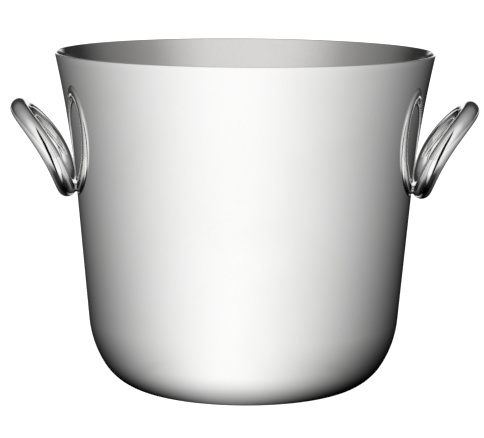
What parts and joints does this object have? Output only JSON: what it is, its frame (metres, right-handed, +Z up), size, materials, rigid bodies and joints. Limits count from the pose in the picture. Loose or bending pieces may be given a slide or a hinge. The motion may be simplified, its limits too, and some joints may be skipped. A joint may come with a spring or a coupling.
{
  "type": "champagne bucket",
  "caption": "Polished silver champagne bucket: a flared, round-bottomed bowl with upright ring handles brazed to opposite sides of its wall.",
  "frame": {"origin": "centre of the flat underside, on the surface the bucket stands on", "axes": "+Z up along the bowl's axis, +X towards the right ring handle, -Y towards the viewer"},
  "size_m": [0.284, 0.2298, 0.205],
  "materials": {
    "bucket_body": "mirror-polished silver plate",
    "left_ring_handle": "mirror-polished silver plate",
    "right_ring_handle": "mirror-polished silver plate",
    "left_braze_saddle": "polished silver solder",
    "right_braze_saddle": "polished silver solder"
  },
  "bodies": {
    "root": {"bucket_body": "bucket_body", "left_ring_handle": "left_ring_handle", "right_ring_handle": "right_ring_handle", "left_braze_saddle": "left_braze_saddle", "right_braze_saddle": "right_braze_saddle"}
  },
  "joints": []
}
